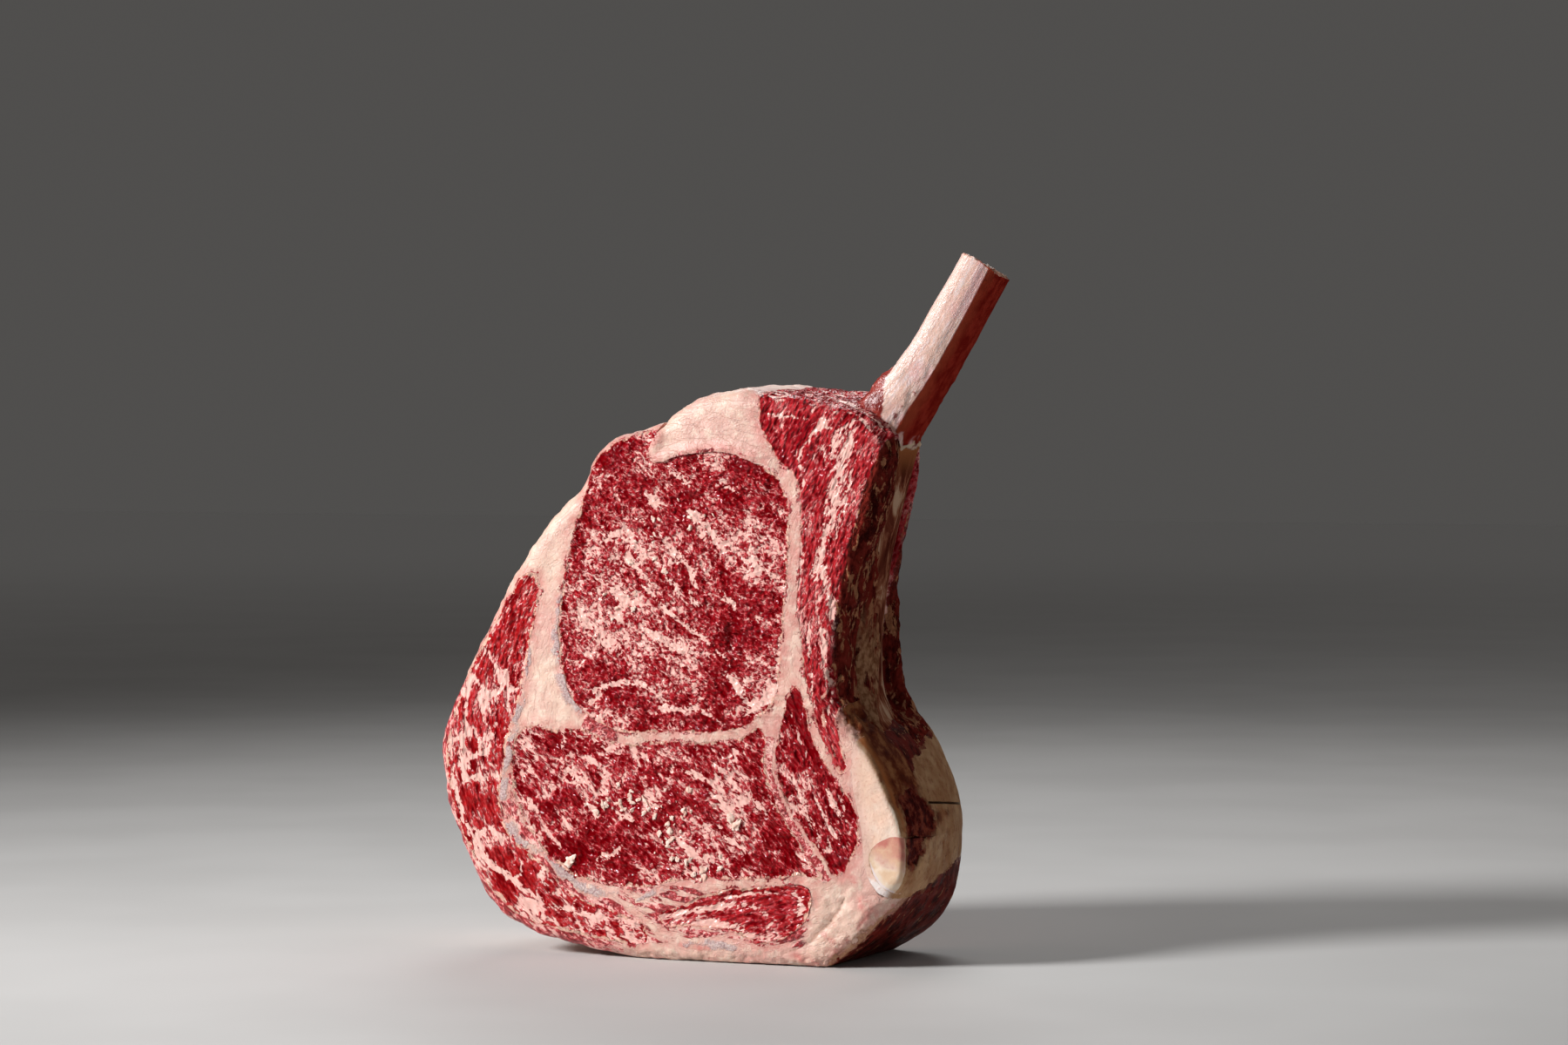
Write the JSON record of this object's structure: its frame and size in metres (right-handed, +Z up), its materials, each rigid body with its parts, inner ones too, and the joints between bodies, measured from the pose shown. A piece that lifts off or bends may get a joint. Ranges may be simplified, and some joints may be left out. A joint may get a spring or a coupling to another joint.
{
  "type": "bone-in rib steak",
  "caption": "Thick raw beef rib steak standing on its chine edge: marbled muscles parted by creamy fat seams, sawn backbone at one side and a long bare rib rising from the top.",
  "frame": {"origin": "on the floor, under the middle of the bounding box", "axes": "+Z up along the standing height, -Y out of the shown cut face, +X towards the side with the rib and backbone"},
  "size_m": [0.208, 0.0645, 0.2534],
  "materials": {
    "lean": "moist raw meat with fine fat marbling",
    "dark_lean": "dry darker raw meat between the ribs",
    "fat": "satin cream fat",
    "bone": "smooth damp bone skin",
    "cartilage": "smooth ivory cartilage"
  },
  "bodies": {
    "root": {"eye_muscle": "lean", "cap_muscle": "lean", "outer_muscle": "lean", "strap_muscle": "lean", "multifidus_muscle": "lean", "intercostal_muscle": "dark_lean", "fat": "fat", "rib_bone": "bone", "chine_bone": "bone", "joint_end": "cartilage"}
  },
  "joints": []
}
